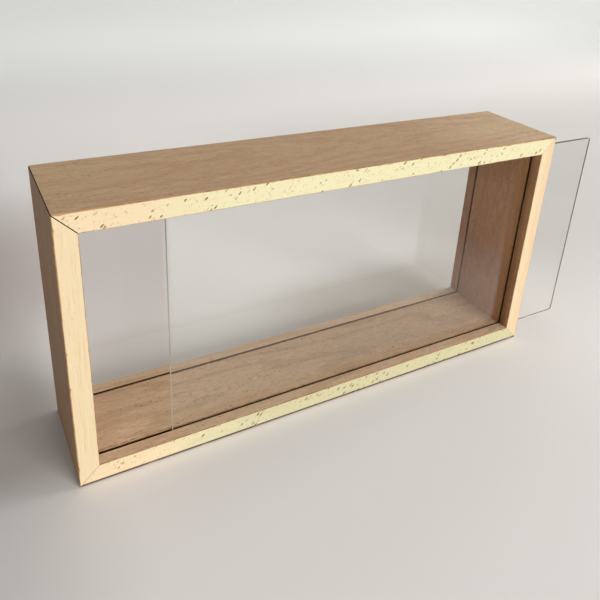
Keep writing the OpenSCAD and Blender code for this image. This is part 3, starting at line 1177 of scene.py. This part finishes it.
def pale_card():
    """Matte pale card: the plain card, its soft greys, and those for some kinds of ray alone."""
    material, tree, shader = new_finish("pale_card")
    place = add(tree, "TexCoord").outputs["Object"]
    side, depth, _ = axes(tree, place)
    seen, glossy, through = looking(tree)
    colour = card_ground(tree, place, side, depth)
    colour = painted_case_shadows(tree, colour, side, depth)
    colour = left_shade(tree, colour, side, depth, through)
    gathering = maths(tree, "SUBTRACT", 1.0, seen)
    colour = shaded(tree, colour, SCATTER_GREY, between(tree, side, -0.25, -0.8), gathering)
    corner = weighed(tree, side, depth, *CORNER_LINE)
    colour = shaded(tree, colour, CORNER_GREY, glossy, between(tree, corner, 0.175, 0.3),
                    between(tree, depth, 0.12, 0.0))
    beyond = weighed(tree, side, depth, *BEYOND_LINE)
    colour = shaded(tree, colour, BEYOND_GREY, glossy, between(tree, beyond, 0.432, 0.442),
                    between(tree, depth, 0.1, 0.05))
    tree.links.new(colour, shader.inputs["Base Color"])
    shader.inputs["Roughness"].default_value = CARD_ROUGH
    shader.inputs["Specular IOR Level"].default_value = CARD_SHEEN
    return material


dress(stage, [pale_card()])
stage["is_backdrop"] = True
print("stage finish:", stage.data.materials[0].name)

# %% [markdown]
# Soft daylight comes from the front right. The window is a large lamp, low on that side, which
# makes the front edges the brightest. A weaker one to the left of the front and one square to
# the right keep the case's two ends readable, and one overhead, like a pale ceiling, lifts the
# top and the floor. A faint glow from all round fills what is left. One small lamp could give
# the same brightness, but its shadows would be hard and black. Power is worked out from the
# level wanted at the case: a small lamp lights a white face square to it to its power divided
# by the square of pi times the distance.

# %% The light
MIDDLE = Vector((0, 0, CASE_H / 2))
WINDOW_WHITE = (1.0, 0.985, 0.97)
LEFT_WHITE = (1.0, 0.985, 0.965)
CEILING_WHITE = (1.0, 0.99, 0.975)
GLOW_WHITE = (1.0, 0.99, 0.97, 1)
GLOW_LEVEL, GLOW_SEEN = 0.06, 0.75


def soft_lamp(name, right, up, away, size, level, colour):
    """A rectangular lamp that looks at the middle of the case. right is its angle to the right
    of straight in front, up its angle above level, and level the light that it gives there."""
    lamp = bpy.data.lights.new(name, "AREA")
    lamp.shape = "RECTANGLE"
    lamp.size, lamp.size_y = size
    lamp.energy = level * (math.pi * away) ** 2
    lamp.color = colour
    thing = bpy.data.objects.new(name, lamp)
    bpy.context.scene.collection.objects.link(thing)
    right, up = math.radians(right), math.radians(up)
    flat = math.cos(up)
    toward = Vector((flat * math.sin(right), -flat * math.cos(right), math.sin(up)))
    thing.location = MIDDLE + away * toward
    thing.rotation_euler = toward.to_track_quat("Z", "Y").to_euler()
    thing.visible_camera = False
    thing.visible_transmission = False
    thing.visible_glossy = False
    print(name, "power, W:", round(lamp.energy))


def glow():
    """A weak even light from all round. A ray that looks, and hasn't been scattered by any
    dull surface on its way, sees pale grey instead."""
    world = bpy.data.worlds.new("glow")
    world.use_nodes = True
    bpy.context.scene.world = world
    tree = world.node_tree
    unscattered = maths(tree, "LESS_THAN", add(tree, "LightPath").outputs["Diffuse Depth"], 0.5)
    seen = overlap(tree, looking(tree)[0], unscattered)
    background = tree.nodes["Background"]
    background.inputs["Color"].default_value = GLOW_WHITE
    tree.links.new(ranged(tree, seen, GLOW_LEVEL, GLOW_SEEN), background.inputs["Strength"])


soft_lamp("window", right=20, up=16, away=7.0, size=(3.6, 2.6), level=0.75, colour=WINDOW_WHITE)
soft_lamp("left_window", right=-35, up=14, away=6.0, size=(2.4, 2.0), level=0.24,
          colour=LEFT_WHITE)
soft_lamp("side_window", right=90, up=28, away=4.0, size=(2.0, 2.0), level=0.4,
          colour=CEILING_WHITE)
soft_lamp("ceiling", right=40, up=70, away=2.8, size=(2.6, 2.6), level=0.22, colour=CEILING_WHITE)
glow()

# %% [markdown]
# The camera stands to the left of the front and above, turned a little, and rolled by a few
# degrees. It could be placed by eye, but its place, turns and lens come from matching the
# case's corners to the photograph, which shows the lower part of a taller view: that is why
# the lens is shifted.

# %% The camera
CAMERA_AT = (-0.1805, -0.2897, 0.2678)
CAMERA_YAW = math.radians(30.81)
CAMERA_PITCH = math.radians(-22.89)
CAMERA_ROLL = math.radians(3.486)
FRAME_PIXELS = 600
FOCAL_PIXELS = 648.55
AXIS_PIXEL = (311.69, 192.09)
SENSOR = 36.0


def make_camera():
    """Level and facing +Y, then rolled, pitched and turned."""
    data = bpy.data.cameras.new("camera")
    data.sensor_width = SENSOR
    data.lens = FOCAL_PIXELS / FRAME_PIXELS * SENSOR
    data.shift_x = (FRAME_PIXELS / 2 - AXIS_PIXEL[0]) / FRAME_PIXELS
    data.shift_y = (AXIS_PIXEL[1] - FRAME_PIXELS / 2) / FRAME_PIXELS
    camera = bpy.data.objects.new("camera", data)
    bpy.context.scene.collection.objects.link(camera)
    turn = Matrix.Rotation(-CAMERA_YAW, 4, "Z")
    turn = turn @ Matrix.Rotation(math.pi / 2 + CAMERA_PITCH, 4, "X")
    turn = turn @ Matrix.Rotation(CAMERA_ROLL, 4, "Z")
    camera.matrix_world = Matrix.Translation(CAMERA_AT) @ turn
    return camera


camera = make_camera()
bpy.context.scene.camera = camera
bpy.context.scene.view_settings.view_transform = "Standard"
print("lens, mm:", round(camera.data.lens, 1))

# %% [markdown]
# Last, the outer boxes of the plain model and of the dressed one are compared, and how far the
# dressed one has grown is printed.

# %% How far the model has grown
SHOWN_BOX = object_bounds()
for shown, planned in zip(SHOWN_BOX, CAD_BOX):
    print("grown, mm:", [round((a - b) / MM, 3) for a, b in zip(shown, planned)])
